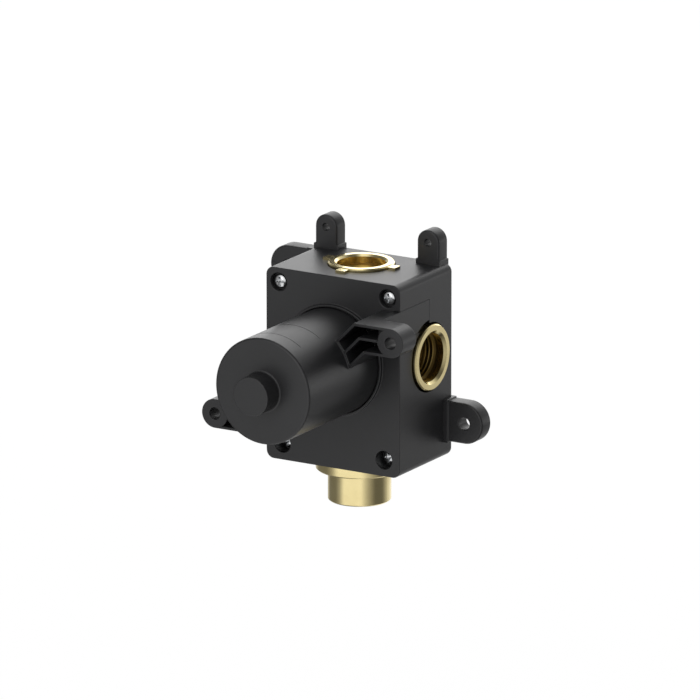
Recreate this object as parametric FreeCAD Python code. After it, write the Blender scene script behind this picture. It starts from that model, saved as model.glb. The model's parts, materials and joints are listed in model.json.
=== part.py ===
import FreeCAD, Part
import math
import os
from FreeCAD import Vector

# Concealed shower diverter valve: a brass body and ceramic cartridge in a black plastic wall box,
# with a removable guard over the spindle. All sizes are in millimetres.
# Pieces are drawn in the front view (x right, y up, z forward from the wall, cartridge axis at x = y = 0)
# and stood up at export, so that the part's +Z is up and its -Y faces the room.

# Fits and gaps
SLIDE_GAP = 0.3
RUN_FIT = 0.05
SCREW_FIT = 0.1
AXIAL_FIT = 0.05

# Rear box
BOX_W = 65.6
BOX_D = 44.0
BOX_TOP = 36.65
BOX_BOTTOM = 47.35
BOX_CORNER_R = 3.5
BOX_BACK_ROUND = 1.6
BOX_WALL = 2.6
BACK_WALL = 3.0
POST_R = 3.8

# Rear fixing ears
EAR_T = 7.2
TOP_EAR_SPACING = 50.2
TOP_EAR_SHIFT = -0.5
TOP_EAR_RISE = 9.5
TOP_EAR_R = 5.35
TOP_EAR_HOLE_R = 1.75
RIGHT_EAR_OUT = 9.7
RIGHT_EAR_DROP = 30.75
LEFT_EAR_OUT = 11.6
LEFT_EAR_RISE = 26.5
SIDE_EAR_R = 8.9
SIDE_EAR_HOLE_R = 2.75
EAR_PAD_STEP = 0.6
EAR_PAD_H = 2.0
EAR_PAD_AHEAD = 0.5
EAR_CHAMFER = 0.8

# Front cover and its screws
COVER_T = 3.0
COLLAR_H = 1.6
COLLAR_WALL = 1.1
TOP_SCREW_SIDE = 6.1
TOP_SCREW_INSET = 6.2
LOW_SCREW_SIDE = 7.8
LOW_SCREW_INSET = 7.2
TOP_SCREW_SINK = 3.0
LOW_SCREW_SINK = 6.5
SCREW_FLOOR = 2.0
SCREW_R = 1.6
SCREW_HEAD_R = 3.1
SCREW_HEAD_H = 2.3
SCREW_RIM_H = 1.3
SCREW_CROWN_R = 2.2
SCREW_LENGTH = 14.0
SCREW_SLOT_L = 3.7
SCREW_SLOT_W = 0.9
SCREW_SLOT_D = 1.1
RECESS_GAP = 0.9
RECESS_WALL = 1.4

# Guard: tower, end pip, arms with fixing bosses, side tongues
GUARD_R = 23.0
GUARD_WALL = 2.0
GUARD_LENGTH = 57.2
GUARD_END_T = 2.5
GUARD_INSERT = 1.5
GUARD_EDGE_R = 1.0
PIP_R = 8.4
PIP_H = 9.5
PIP_WALL = 2.0
PIP_ROOT_R = 0.8
MARK_FAR = 48.0
MARK_NEAR = 32.4
MARK_W = 0.5
MARK_DEPTH = 0.08
MARK_SPREAD = 70.0
ARM_FRONT = 24.6
ARM_RIB = 1.2
ARM_FLOOR = 2.0
ARM_BEND_INSET = 5.3
ARM_ANGLE = 45.0
ARM_COLLAR = 1.0
BOSS_R = 6.3
BOSS_T = 11.0
BOSS_HOLE_R = 2.6
RIGHT_BOSS_OUT = 9.8
RIGHT_BOSS_RISE = 19.1
LEFT_BOSS_OUT = 10.7
LEFT_BOSS_DROP = 23.8
TONGUE_T = 2.5
TONGUE_GAP = 0.15
TONGUE_REACH = 24.4
CHANNEL_WALL = 1.8

# Ports
TOP_PORT_BACK = 1.5
SIDE_PORT_BACK = 3.0
THREAD_R = 10.48
THREAD_DEPTH = 12.5
WATERWAY_R = 5.5
BARREL_R = 13.4
TOP_RING_R = 14.1
TOP_RING_OUT = 1.3
TOP_MOUTH_R = 11.4
SIDE_RING_R = 14.3
SIDE_RING_OUT = 1.5
SIDE_MOUTH_R = 11.6
SIDE_HOLE_GAP = 0.8
BUSH_LENGTH = 13.8
RING_EDGE = 0.5
LUG_REACH = 17.7
LUG_W = 4.5
LUG_H = 1.0
LUG_COUNT = 3
LUG_STEP = 90.0
MALE_R = 10.0
MALE_LENGTH = 10.5
SOCKET_SPARE = 0.5
O_RING_D = 1.8
O_RING_SIDE = 0.3
O_RING_SIDES = 6
FLANGE_R = 18.65
FLANGE_T = 5.1
INLET_R = 13.5
INLET_LENGTH = 13.7
INLET_MOUTH_R = 11.4

# Valve body
FOOT_R = 10.0
FOOT_H = 5.0
CORE_R = 16.0
SEAT_FLOOR = 5.5
NECK_GAP = 1.0
NECK_WALL = 3.0
NECK_CHAMFER = 4.0
CHAMBER_STEP = 2.3
PEG_R = 1.2
PEG_L = 2.2

# Cartridge
CHAMBER_FIT = 0.2
HOUSING_WALL = 2.3
BASE_T = 5.0
FIXED_DISC_T = 3.0
MOVING_DISC_T = 3.5
DISC_STEP = 1.0
CENTRE_PORT_R = 2.8
PORT_LAND = 2.2
FLOW_DEPTH = 2.0
SEAL_W = 0.9
SEAL_H = 1.0
DRIVER_T = 3.5
TANG_W = 3.0
TANG_L = 3.0
TANG_H = 1.4
TURN_RANGE = 90.0
STOP_TAB = 24.0
STOP_SPARE = 2.0
FLANGE_DISC_R = 8.5
FLANGE_DISC_T = 3.0
BLADE_W = 3.0
BLADE_L = 13.0
BLADE_H = 1.8
WASHER_T = 1.0
SHOULDER_T = 3.9
STEM_WALL = 3.0
STEM_LENGTH = 8.0
HOUSING_RING_AT = 8.0
HOUSING_RING_D = 1.5

# Spindle and bonnet nut
SPINDLE_R = 5.0
STEM_RING_D = 1.2
STEM_RING_GAP = 0.03
STEM_RING_PITCH = 3.6
CLIP_W = 0.8
CLIP_DEPTH = 0.9
CLIP_OUT = 1.1
CLIP_MOUTH = 70.0
SHAFT_STEP = 0.4
SPLINE_R = 4.0
SPLINE_DEPTH = 0.45
SPLINE_TEETH = 20
SPLINE_L = 12.0
TIP_GAP = 6.5
HANDLE_SCREW_R = 1.65
HANDLE_SCREW_L = 10.0
NUT_ENGAGE = 6.5
NUT_HEX_STEP = 1.5
NUT_HEX_H = 6.0
NUT_HEX_GAP = 0.4

# Places worked out from the sizes above
SIDE = BOX_W / 2
RIM = BOX_D - COVER_T
GUARD_IN_R = GUARD_R - GUARD_WALL
NECK_R = GUARD_IN_R - NECK_GAP
NUT_R = NECK_R - NECK_WALL
CHAMBER_R = NUT_R - CHAMBER_STEP
HOUSING_R = CHAMBER_R - CHAMBER_FIT
DISC_R = HOUSING_R - HOUSING_WALL - CHAMBER_FIT
DRIVER_R = DISC_R - DISC_STEP - SLIDE_GAP
PORT_R = (DISC_R - CENTRE_PORT_R) / 2 - PORT_LAND
PORT_OFFSET = DISC_R - PORT_LAND - PORT_R
STEM_R = SPINDLE_R + STEM_WALL
RECESS_R = SCREW_HEAD_R + RECESS_GAP
HOLE_R = GUARD_R + SLIDE_GAP
COLLAR_R = HOLE_R + COLLAR_WALL

INLET_DEPTH = BOX_D / 2
TOP_PORT_DEPTH = INLET_DEPTH - TOP_PORT_BACK
SIDE_PORT_DEPTH = INLET_DEPTH - SIDE_PORT_BACK
SEAT = INLET_DEPTH + WATERWAY_R + SEAT_FLOOR
DISC_AT = SEAT + BASE_T
MOVING_AT = DISC_AT + FIXED_DISC_T + AXIAL_FIT
DRIVER_AT = MOVING_AT + MOVING_DISC_T
FLANGE_AT = DRIVER_AT + DRIVER_T
WASHER_AT = FLANGE_AT + FLANGE_DISC_T
SHOULDER_AT = WASHER_AT + WASHER_T + AXIAL_FIT
NUT_AT = SHOULDER_AT + SHOULDER_T
NECK_MOUTH = NUT_AT + NUT_ENGAGE
STEM_END = NUT_AT + STEM_LENGTH
GUARD_END = BOX_D + GUARD_LENGTH
SPINDLE_TIP = GUARD_END - GUARD_END_T - TIP_GAP

TOP_RING_END = BOX_TOP + TOP_RING_OUT
TOP_SEAT = TOP_RING_END - BUSH_LENGTH
SIDE_RING_END = SIDE + SIDE_RING_OUT
SIDE_SEAT = SIDE_RING_END - BUSH_LENGTH
INLET_SEAT = BOX_BOTTOM - BOX_WALL

SCREWS = [
    (side * (SIDE - inset_x), height, sink)
    for side in (-1, 1)
    for inset_x, height, sink in (
        (TOP_SCREW_SIDE, BOX_TOP - TOP_SCREW_INSET, TOP_SCREW_SINK),
        (LOW_SCREW_SIDE, LOW_SCREW_INSET - BOX_BOTTOM, LOW_SCREW_SINK),
    )
]


def rod(radius, start, end, x=0.0, y=0.0):
    """Round bar along the forward axis."""
    return Part.makeCylinder(radius, end - start, Vector(x, y, start))


def slab(x0, x1, y0, y1, z0, z1):
    """Square block between two corners."""
    return Part.makeBox(x1 - x0, y1 - y0, z1 - z0, Vector(x0, y0, z0))


def outline(points):
    """Flat face inside a closed run of straight lines."""
    corners = [Vector(*point) for point in points]
    return Part.Face(Part.makePolygon(corners + corners[:1]))


def raised(points, start, end):
    """Straight-sided block on an outline drawn in the front view."""
    return outline([(x, y, start) for x, y in points]).extrude(Vector(0, 0, end - start))


def turned(profile, sweep=360.0):
    """Solid of revolution about the forward axis, from (radius, depth) points."""
    face = outline([(radius, 0, along) for radius, along in profile])
    return face.revolve(Vector(0, 0, 0), Vector(0, 0, 1), sweep)


def aimed(shape, origin, direction):
    """Move a shape from the forward axis to a port's own axis."""
    turn = FreeCAD.Rotation(Vector(0, 0, 1), direction)
    placed = shape.copy()
    placed.Placement = FreeCAD.Placement(origin, turn).multiply(shape.Placement)
    return placed


def top_port(shape):
    return aimed(shape, Vector(0, 0, TOP_PORT_DEPTH), Vector(0, 1, 0))


def side_port(shape):
    return aimed(shape, Vector(0, 0, SIDE_PORT_DEPTH), Vector(1, 0, 0))


def inlet_port(shape):
    return aimed(shape, Vector(0, 0, INLET_DEPTH), Vector(0, -1, 0))


def edges_at(shape, level):
    """Every edge that lies flat at one depth."""
    return [e for e in shape.Edges if abs(e.BoundBox.ZMin - level) + abs(e.BoundBox.ZMax - level) < 1e-6]


def round_edges(shape, radius, level):
    return shape.makeFillet(radius, edges_at(shape, level))


def box_block(inset, start, end):
    """Block with the box's rounded front-view outline, drawn in from the outside by an inset."""
    block = slab(inset - SIDE, SIDE - inset, inset - BOX_BOTTOM, BOX_TOP - inset, start, end)
    corners = [e for e in block.Edges if abs(e.BoundBox.ZLength - (end - start)) < 1e-6]
    return block.makeFillet(max(BOX_CORNER_R - inset, RING_EDGE), corners)


def ear(x, y, radius, hole_r, root, pad):
    """Rear fixing ear: a round-ended tab from the box to its hole, with a wider pad at its root."""
    tab = rod(radius, 0, EAR_T, x, y).fuse(root).removeSplitter()
    tab = tab.makeChamfer(EAR_CHAMFER, edges_at(tab, EAR_T))
    return tab.fuse(pad), rod(hole_r, 0, EAR_T, x, y)


def top_ear(side):
    x = side * TOP_EAR_SPACING / 2 + TOP_EAR_SHIFT
    y = BOX_TOP + TOP_EAR_RISE
    root = slab(x - TOP_EAR_R, x + TOP_EAR_R, BOX_TOP - BOX_WALL, y, 0, EAR_T)
    pad_r = TOP_EAR_R + EAR_PAD_STEP
    pad = slab(x - pad_r, x + pad_r, BOX_TOP - BOX_WALL, BOX_TOP + EAR_PAD_H, 0, EAR_T)
    return ear(x, y, TOP_EAR_R, TOP_EAR_HOLE_R, root, pad)


def side_ear(side, out, y):
    x = side * (SIDE + out)
    inner = side * (SIDE - BOX_WALL)
    root = slab(min(x, inner), max(x, inner), y - SIDE_EAR_R, y + SIDE_EAR_R, 0, EAR_T)
    pad_r = SIDE_EAR_R + EAR_PAD_STEP
    pad_out = side * (SIDE + EAR_PAD_H)
    pad = slab(min(pad_out, inner), max(pad_out, inner), y - pad_r, y + pad_r, 0, EAR_T + EAR_PAD_AHEAD)
    return ear(x, y, SIDE_EAR_R, SIDE_EAR_HOLE_R, root, pad)


def tongue(side, y, gap, start, end):
    """Flat strip in a side wall's outer face; with a gap it is the slot that the strip slides in."""
    inner = side * (SIDE - TONGUE_T - gap)
    outer = side * (SIDE + gap)
    half = BOSS_R + gap
    return slab(min(inner, outer), max(inner, outer), y - half, y + half, start - gap, end)


def side_hole(gap):
    start = SIDE - TONGUE_T - CHANNEL_WALL - BOX_WALL
    return side_port(rod(SIDE_RING_R + SIDE_HOLE_GAP + gap, start, SIDE_RING_END))


def tongue_slots():
    rear = BOX_D - TONGUE_REACH
    right = tongue(1, RIGHT_BOSS_RISE, TONGUE_GAP, rear, BOX_D + TONGUE_GAP)
    left = tongue(-1, -LEFT_BOSS_DROP, TONGUE_GAP, rear, BOX_D + TONGUE_GAP)
    return right.fuse(left)


def channel(side, y):
    """Thickened stretch of the box's side wall behind a tongue's slot."""
    wall = CHANNEL_WALL + TONGUE_GAP
    start = BOX_D - TONGUE_REACH - wall
    inner = side * (SIDE - TONGUE_T - wall)
    outer = side * (SIDE - BOX_WALL / 2)
    half = BOSS_R + wall
    return slab(min(inner, outer), max(inner, outer), y - half, y + half, start, RIM)


def rear_box():
    box = round_edges(box_block(0, 0, RIM), BOX_BACK_ROUND, 0)
    box = box.cut(box_block(BOX_WALL, BACK_WALL, RIM))
    ears = [
        top_ear(-1),
        top_ear(1),
        side_ear(1, RIGHT_EAR_OUT, -RIGHT_EAR_DROP),
        side_ear(-1, LEFT_EAR_OUT, LEFT_EAR_RISE),
    ]
    cavity = box_block(BOX_WALL, BACK_WALL, RIM)
    posts = []
    holes = []
    for x, y, sink in SCREWS:
        post_end = BOX_D - sink - SCREW_FLOOR
        posts.append(rod(POST_R, BACK_WALL - RUN_FIT, post_end, x, y))
        holes.append(rod(SCREW_R + RUN_FIT, BACK_WALL + SCREW_FLOOR, post_end, x, y))
        holes.append(rod(RECESS_R + RECESS_WALL + SLIDE_GAP, post_end, RIM, x, y).common(cavity))
    channels = [channel(1, RIGHT_BOSS_RISE), channel(-1, -LEFT_BOSS_DROP)]
    tabs = [tab.cut(cavity) for tab, hole in ears]
    box = box.multiFuse(tabs + posts + channels)
    holes += [hole for tab, hole in ears]
    holes.append(tongue_slots())
    holes.append(side_hole(0))
    holes.append(top_port(rod(TOP_RING_R + SLIDE_GAP, BOX_TOP - 2 * BOX_WALL, BOX_TOP + BOX_WALL)))
    holes.append(inlet_port(rod(MALE_R + SLIDE_GAP, INLET_SEAT - BOX_WALL, BOX_BOTTOM + BOX_WALL)))
    return box.cut(holes).removeSplitter()


def front_cover():
    cover = box_block(0, RIM, BOX_D)
    room = box_block(BOX_WALL + SLIDE_GAP, BACK_WALL, RIM)
    bosses = []
    holes = [rod(HOLE_R, RIM, BOX_D + COLLAR_H), tongue_slots()]
    for x, y, sink in SCREWS:
        seat = BOX_D - sink
        boss = rod(RECESS_R + RECESS_WALL, seat - SCREW_FLOOR, RIM, x, y)
        bosses.append(boss.common(room))
        holes.append(rod(RECESS_R, seat, BOX_D, x, y))
        holes.append(rod(SCREW_R + SLIDE_GAP, seat - SCREW_FLOOR, seat, x, y))
    collar = rod(COLLAR_R, RIM, BOX_D + COLLAR_H)
    return cover.multiFuse(bosses + [collar]).cut(holes).removeSplitter()


def cover_screw(x, y, sink):
    """Pan-head screw with a cross recess, seated in a cover boss."""
    seat = BOX_D - sink
    crown = seat + SCREW_HEAD_H
    screw = turned([
        (0, crown),
        (0, seat - SCREW_LENGTH),
        (SCREW_R, seat - SCREW_LENGTH),
        (SCREW_R, seat),
        (SCREW_HEAD_R, seat),
        (SCREW_HEAD_R, seat + SCREW_RIM_H),
        (SCREW_CROWN_R, crown),
    ])
    arm = SCREW_SLOT_L / 2
    half = SCREW_SLOT_W / 2
    floor = crown - SCREW_SLOT_D
    cross = slab(-arm, arm, -half, half, floor, crown).fuse(slab(-half, half, -arm, arm, floor, crown))
    screw = screw.cut(cross)
    screw.translate(Vector(x, y, 0))
    return screw


def cover_screws():
    return Part.makeCompound([cover_screw(*place) for place in SCREWS])


def dogleg(boss_x, boss_y, low, high, start_x):
    """Front-view strip of a guard arm: level from the boss, then slanting in to the tower.

    low and high are the strip's edges, measured across the arm from its middle line.
    """
    lean = math.radians(ARM_ANGLE)
    bend_x = SIDE - ARM_BEND_INSET
    along = (-math.cos(lean), -math.sin(lean))
    across = (-math.sin(lean), math.cos(lean))
    mitre = -math.tan(lean / 2)
    reach = -(bend_x * along[0] + boss_y * along[1])
    foot = (bend_x + reach * along[0], boss_y + reach * along[1])

    def bend(offset):
        return (bend_x + mitre * offset, boss_y + offset)

    def root(offset):
        return (foot[0] + across[0] * offset, foot[1] + across[1] * offset)

    return [(start_x, boss_y + low), (start_x, boss_y + high), bend(high), root(high), root(low), bend(low)]


def guard_arm(boss_x, boss_y):
    """Right-hand arm with its boss, drawn above the axis; the left one is the same form turned half round."""
    front = BOX_D + ARM_FRONT
    back = BOX_D + SLIDE_GAP
    body = raised(dogleg(boss_x, boss_y, -BOSS_R, BOSS_R, boss_x), front - BOSS_T, front)
    inside = raised(dogleg(boss_x, boss_y, -BOSS_R, BOSS_R, SIDE), back, front)
    lane_inner = ARM_RIB / 2
    lane_outer = BOSS_R - ARM_RIB
    pockets = []
    for low, high in ((lane_inner, lane_outer), (-lane_outer, -lane_inner)):
        lane = dogleg(boss_x, boss_y, low, high, boss_x)
        shallow = raised(lane, front - BOSS_T + ARM_FLOOR, front)
        lane = dogleg(boss_x, boss_y, low, high, SIDE - ARM_RIB)
        pockets.append(shallow.fuse(raised(lane, back + ARM_FLOOR, front)))
    keep = rod(GUARD_R + ARM_COLLAR, back, front).fuse(rod(BOSS_R, back, front, boss_x, boss_y))
    pockets = [pocket.cut(keep) for pocket in pockets]
    arm = body.fuse(inside).fuse(rod(BOSS_R, front - BOSS_T, front, boss_x, boss_y))
    arm = arm.cut(pockets)
    strip = tongue(1, boss_y, 0, BOX_D - TONGUE_REACH, BOX_D + ARM_FLOOR)
    return arm.fuse(strip), rod(BOSS_HOLE_R, front - BOSS_T, front, boss_x, boss_y)


def depth_mark(ahead):
    """Shallow groove over the top of the tower that marks a wall depth."""
    level = BOX_D + ahead
    ring = turned([
        (GUARD_R - MARK_DEPTH, level - MARK_W / 2),
        (GUARD_R + MARK_DEPTH, level - MARK_W / 2),
        (GUARD_R + MARK_DEPTH, level + MARK_W / 2),
        (GUARD_R - MARK_DEPTH, level + MARK_W / 2),
    ], MARK_SPREAD)
    ring.rotate(Vector(0, 0, 0), Vector(0, 0, 1), 90 - MARK_SPREAD / 2)
    return ring


def guard():
    rear = BOX_D - GUARD_INSERT
    tower = round_edges(rod(GUARD_R, rear, GUARD_END), GUARD_EDGE_R, GUARD_END)
    pip = rod(PIP_R, GUARD_END - GUARD_END_T, GUARD_END + PIP_H)
    tower = tower.fuse(pip)
    root = [e for e in tower.Edges if abs(e.BoundBox.ZMax - GUARD_END) < 1e-6 and e.BoundBox.ZLength < 1e-6
            and abs(e.BoundBox.XLength - 2 * PIP_R) < 1e-3]
    tower = tower.makeFillet(PIP_ROOT_R, root)
    right, right_hole = guard_arm(SIDE + RIGHT_BOSS_OUT, RIGHT_BOSS_RISE)
    left, left_hole = guard_arm(SIDE + LEFT_BOSS_OUT, LEFT_BOSS_DROP)
    for shape in (left, left_hole):
        shape.rotate(Vector(0, 0, 0), Vector(0, 0, 1), 180)
    cuts = [
        rod(GUARD_IN_R, rear, GUARD_END - GUARD_END_T),
        rod(PIP_R - PIP_WALL, rear, GUARD_END + PIP_H - PIP_WALL),
        rod(COLLAR_R + SLIDE_GAP, BOX_D - GUARD_INSERT, BOX_D + COLLAR_H + SLIDE_GAP).cut(
            rod(GUARD_R, BOX_D - GUARD_INSERT, BOX_D + COLLAR_H + SLIDE_GAP)),
        side_hole(RECESS_WALL),
        depth_mark(MARK_FAR),
        depth_mark(MARK_NEAR),
        right_hole,
        left_hole,
    ]
    return tower.multiFuse([right, left]).cut(cuts).removeSplitter()


def ring_groove(bore_r, ring_d, middle):
    """Square groove for a round sealing ring, cut in from a bore's radius."""
    half = ring_d / 2 + O_RING_SIDE
    inner = bore_r - ring_d
    return turned([
        (inner, middle - half),
        (bore_r + ring_d, middle - half),
        (bore_r + ring_d, middle + half),
        (inner, middle + half),
    ])


def o_ring(bore_r, ring_d, middle):
    """Sealing ring with a many-sided section, as deep as the gap between its groove's floor and the bore."""
    ring_r = bore_r - ring_d / 2
    corner_r = ring_d / 2 / math.cos(math.pi / O_RING_SIDES)
    section = []
    for corner in range(O_RING_SIDES):
        angle = math.pi * (2 * corner + 1) / O_RING_SIDES
        section.append((ring_r + corner_r * math.cos(angle), middle + corner_r * math.sin(angle)))
    return turned(section)


def port_ring_places():
    """Middle of each screwed-in piece's sealing ring, along its own port axis."""
    back = MALE_LENGTH / 2
    return [(top_port, TOP_SEAT - back), (side_port, SIDE_SEAT - back), (inlet_port, INLET_SEAT - back)]


def port_o_rings():
    return Part.makeCompound([
        port(o_ring(MALE_R + SCREW_FIT, O_RING_D, middle)) for port, middle in port_ring_places()
    ])


def outlet_bush(seat, ring_end, ring_r, mouth_r):
    """Turned brass bush: male end, ring, threaded bore with a chamfered mouth, and waterway."""
    thread_end = ring_end - THREAD_DEPTH
    bush = turned([
        (WATERWAY_R, seat - MALE_LENGTH),
        (MALE_R, seat - MALE_LENGTH),
        (MALE_R, seat),
        (ring_r, seat),
        (ring_r, ring_end - RING_EDGE),
        (ring_r - RING_EDGE, ring_end),
        (mouth_r, ring_end),
        (THREAD_R, ring_end - (mouth_r - THREAD_R)),
        (THREAD_R, thread_end),
        (WATERWAY_R, thread_end),
    ])
    return bush.cut(ring_groove(MALE_R + SCREW_FIT, O_RING_D, seat - MALE_LENGTH / 2))


def top_outlet():
    bush = outlet_bush(TOP_SEAT, TOP_RING_END, TOP_RING_R, TOP_MOUTH_R)
    half = LUG_W / 2
    inner = (TOP_RING_R + TOP_MOUTH_R) / 2
    lug = slab(inner, LUG_REACH, -half, half, BOX_TOP, BOX_TOP + LUG_H)
    lugs = []
    for step in range(LUG_COUNT):
        copy = lug.copy()
        copy.rotate(Vector(0, 0, 0), Vector(0, 0, 1), -LUG_STEP * step)
        lugs.append(copy)
    return top_port(bush.multiFuse(lugs).removeSplitter())


def side_outlet():
    return side_port(outlet_bush(SIDE_SEAT, SIDE_RING_END, SIDE_RING_R, SIDE_MOUTH_R))


def inlet_adaptor():
    """Turned brass adaptor: male end, clamping flange, socket with a threaded bore."""
    flange_end = BOX_BOTTOM + FLANGE_T
    mouth = flange_end + INLET_LENGTH
    male_end = INLET_SEAT - MALE_LENGTH
    adaptor = turned([
        (WATERWAY_R, male_end),
        (MALE_R, male_end),
        (MALE_R, BOX_BOTTOM),
        (FLANGE_R, BOX_BOTTOM),
        (FLANGE_R, flange_end - RING_EDGE),
        (FLANGE_R - RING_EDGE, flange_end),
        (INLET_R, flange_end),
        (INLET_R, mouth - RING_EDGE),
        (INLET_R - RING_EDGE, mouth),
        (INLET_MOUTH_R, mouth),
        (THREAD_R, mouth - (INLET_MOUTH_R - THREAD_R)),
        (THREAD_R, mouth - THREAD_DEPTH),
        (WATERWAY_R, mouth - THREAD_DEPTH),
    ])
    return inlet_port(adaptor.cut(ring_groove(MALE_R + SCREW_FIT, O_RING_D, INLET_SEAT - MALE_LENGTH / 2)))


def base_ports():
    """Front-view place and radius of the inlet and the two outlet ports under the discs."""
    return [(0.0, 0.0, CENTRE_PORT_R), (PORT_OFFSET, 0.0, PORT_R), (0.0, PORT_OFFSET, PORT_R)]


def peg_places():
    """Locating pegs on the side away from the outlet ports."""
    step = PORT_OFFSET * math.sqrt(0.5)
    return [(-step, -step), (-step, step)]


def valve_body():
    waist = SEAT - NECK_CHAMFER
    body = turned([
        (0, BACK_WALL),
        (FOOT_R, BACK_WALL),
        (FOOT_R, BACK_WALL + FOOT_H),
        (CORE_R, BACK_WALL + FOOT_H),
        (CORE_R, waist),
        (NECK_R, SEAT),
        (NECK_R, NECK_MOUTH),
        (0, NECK_MOUTH),
    ])
    outlets = [(top_port, TOP_SEAT, PORT_OFFSET), (side_port, SIDE_SEAT, PORT_OFFSET)]
    cuts = [rod(CHAMBER_R, SEAT, NECK_MOUTH), rod(NUT_R, NUT_AT - SOCKET_SPARE, NECK_MOUTH)]
    barrels = []
    for port, seat, start in outlets + [(inlet_port, INLET_SEAT, -CENTRE_PORT_R)]:
        barrels.append(port(rod(BARREL_R, 0, seat)))
        cuts.append(port(rod(WATERWAY_R, start, seat)))
        cuts.append(port(rod(MALE_R + SCREW_FIT, seat - MALE_LENGTH - SOCKET_SPARE, seat)))
    for x, y, radius in base_ports():
        cuts.append(rod(radius, min(TOP_PORT_DEPTH, SIDE_PORT_DEPTH), SEAT, x, y))
    for x, y in peg_places():
        cuts.append(rod(PEG_R + SCREW_FIT, SEAT - PEG_L - SCREW_FIT, SEAT, x, y))
    return body.multiFuse(barrels).cut(cuts).removeSplitter()


def cartridge_base():
    base = rod(HOUSING_R, SEAT, DISC_AT)
    pegs = [rod(PEG_R, SEAT - PEG_L, SEAT, x, y) for x, y in peg_places()]
    key_end = DISC_AT + FIXED_DISC_T / 2
    disc_room = rod(DISC_R, DISC_AT, key_end)
    pegs += [rod(PEG_R, DISC_AT, key_end, x, y).common(disc_room) for x, y in key_places()]
    cuts = [rod(radius, SEAT, DISC_AT, x, y) for x, y, radius in base_ports()]
    cuts += [rod(radius + SEAL_W, SEAT, SEAT + SEAL_H, x, y) for x, y, radius in base_ports()]
    return base.multiFuse(pegs).cut(cuts)


def key_places():
    """Keys on the base's face that stop the fixed disc from turning, on the disc's rim."""
    step = DISC_R * math.sqrt(0.5)
    return [(step, -step), (-step, step)]


def base_seals():
    """Three flat rubber rings in the base's underside, round its ports."""
    return Part.makeCompound([
        rod(radius + SEAL_W, SEAT, SEAT + SEAL_H, x, y).cut(rod(radius, SEAT, SEAT + SEAL_H, x, y))
        for x, y, radius in base_ports()
    ])


def fixed_disc():
    end = DISC_AT + FIXED_DISC_T
    cuts = [rod(radius, DISC_AT, end, x, y) for x, y, radius in base_ports()]
    cuts += [rod(PEG_R + RUN_FIT, DISC_AT, end, x, y) for x, y in key_places()]
    return rod(DISC_R, DISC_AT, end).cut(cuts)


def tang_slots(gap):
    """The two driving tangs across the discs, or with a gap their notches."""
    outer = DISC_R - DISC_STEP
    half = TANG_W / 2 + gap
    tangs = []
    for side in (-1, 1):
        near = side * (outer - TANG_L - gap)
        far = side * outer
        tangs.append(slab(-half, half, min(near, far), max(near, far), DRIVER_AT - TANG_H - gap, DRIVER_AT))
    return tangs


def moving_disc():
    disc = rod(DISC_R - DISC_STEP, MOVING_AT, DRIVER_AT)
    flow_end = MOVING_AT + FLOW_DEPTH
    flow = rod(PORT_R, MOVING_AT, flow_end).fuse(rod(PORT_R, MOVING_AT, flow_end, PORT_OFFSET))
    flow = flow.fuse(slab(0, PORT_OFFSET, -PORT_R, PORT_R, MOVING_AT, flow_end))
    return disc.cut([flow] + tang_slots(RUN_FIT))


def stop_sector(inner_r, outer_r, start, end, middle, spread):
    """Ring sector about the axis; middle and spread are angles from +x in the front view."""
    sector = turned([(inner_r, start), (outer_r, start), (outer_r, end), (inner_r, end)], spread)
    sector.rotate(Vector(0, 0, 0), Vector(0, 0, 1), middle - spread / 2)
    return sector


def blade(gap):
    """Cross blade under the spindle's flange, or with a gap its slot in the driver."""
    half_l = BLADE_L / 2 + gap
    half_w = BLADE_W / 2 + gap
    return slab(-half_l, half_l, -half_w, half_w, FLANGE_AT - BLADE_H - gap, FLANGE_AT)


def disc_driver():
    driver = rod(DRIVER_R, DRIVER_AT, FLANGE_AT)
    tab = stop_sector(DRIVER_R / 2, DISC_R - SLIDE_GAP, DRIVER_AT, FLANGE_AT, 180, STOP_TAB)
    tangs = [tang.common(rod(DRIVER_R, DRIVER_AT - TANG_H, DRIVER_AT)) for tang in tang_slots(0)]
    return driver.multiFuse([tab] + tangs).cut(blade(RUN_FIT)).removeSplitter()


def cartridge_housing():
    inner_r = DISC_R + CHAMBER_FIT
    bore_r = SPINDLE_R + RUN_FIT
    housing = turned([
        (inner_r, DISC_AT),
        (HOUSING_R, DISC_AT),
        (HOUSING_R, NUT_AT),
        (STEM_R, NUT_AT),
        (STEM_R, STEM_END),
        (bore_r, STEM_END),
        (bore_r, SHOULDER_AT),
        (inner_r, SHOULDER_AT),
    ])
    window = TURN_RANGE + STOP_TAB + 2 * STOP_SPARE
    middle = 180 + TURN_RANGE / 2 + 180
    stop = stop_sector(DRIVER_R + SLIDE_GAP, inner_r, DRIVER_AT, SHOULDER_AT, middle, 360 - window)
    housing = housing.fuse(stop)
    return housing.cut(ring_groove(CHAMBER_R, HOUSING_RING_D, DISC_AT + HOUSING_RING_AT)).removeSplitter()


def cartridge_o_ring():
    return o_ring(CHAMBER_R, HOUSING_RING_D, DISC_AT + HOUSING_RING_AT)


def stem_ring_places():
    first = SHOULDER_AT + STEM_RING_PITCH / 2
    return [first, first + STEM_RING_PITCH]


def clip_start():
    return STEM_END + AXIAL_FIT


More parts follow.
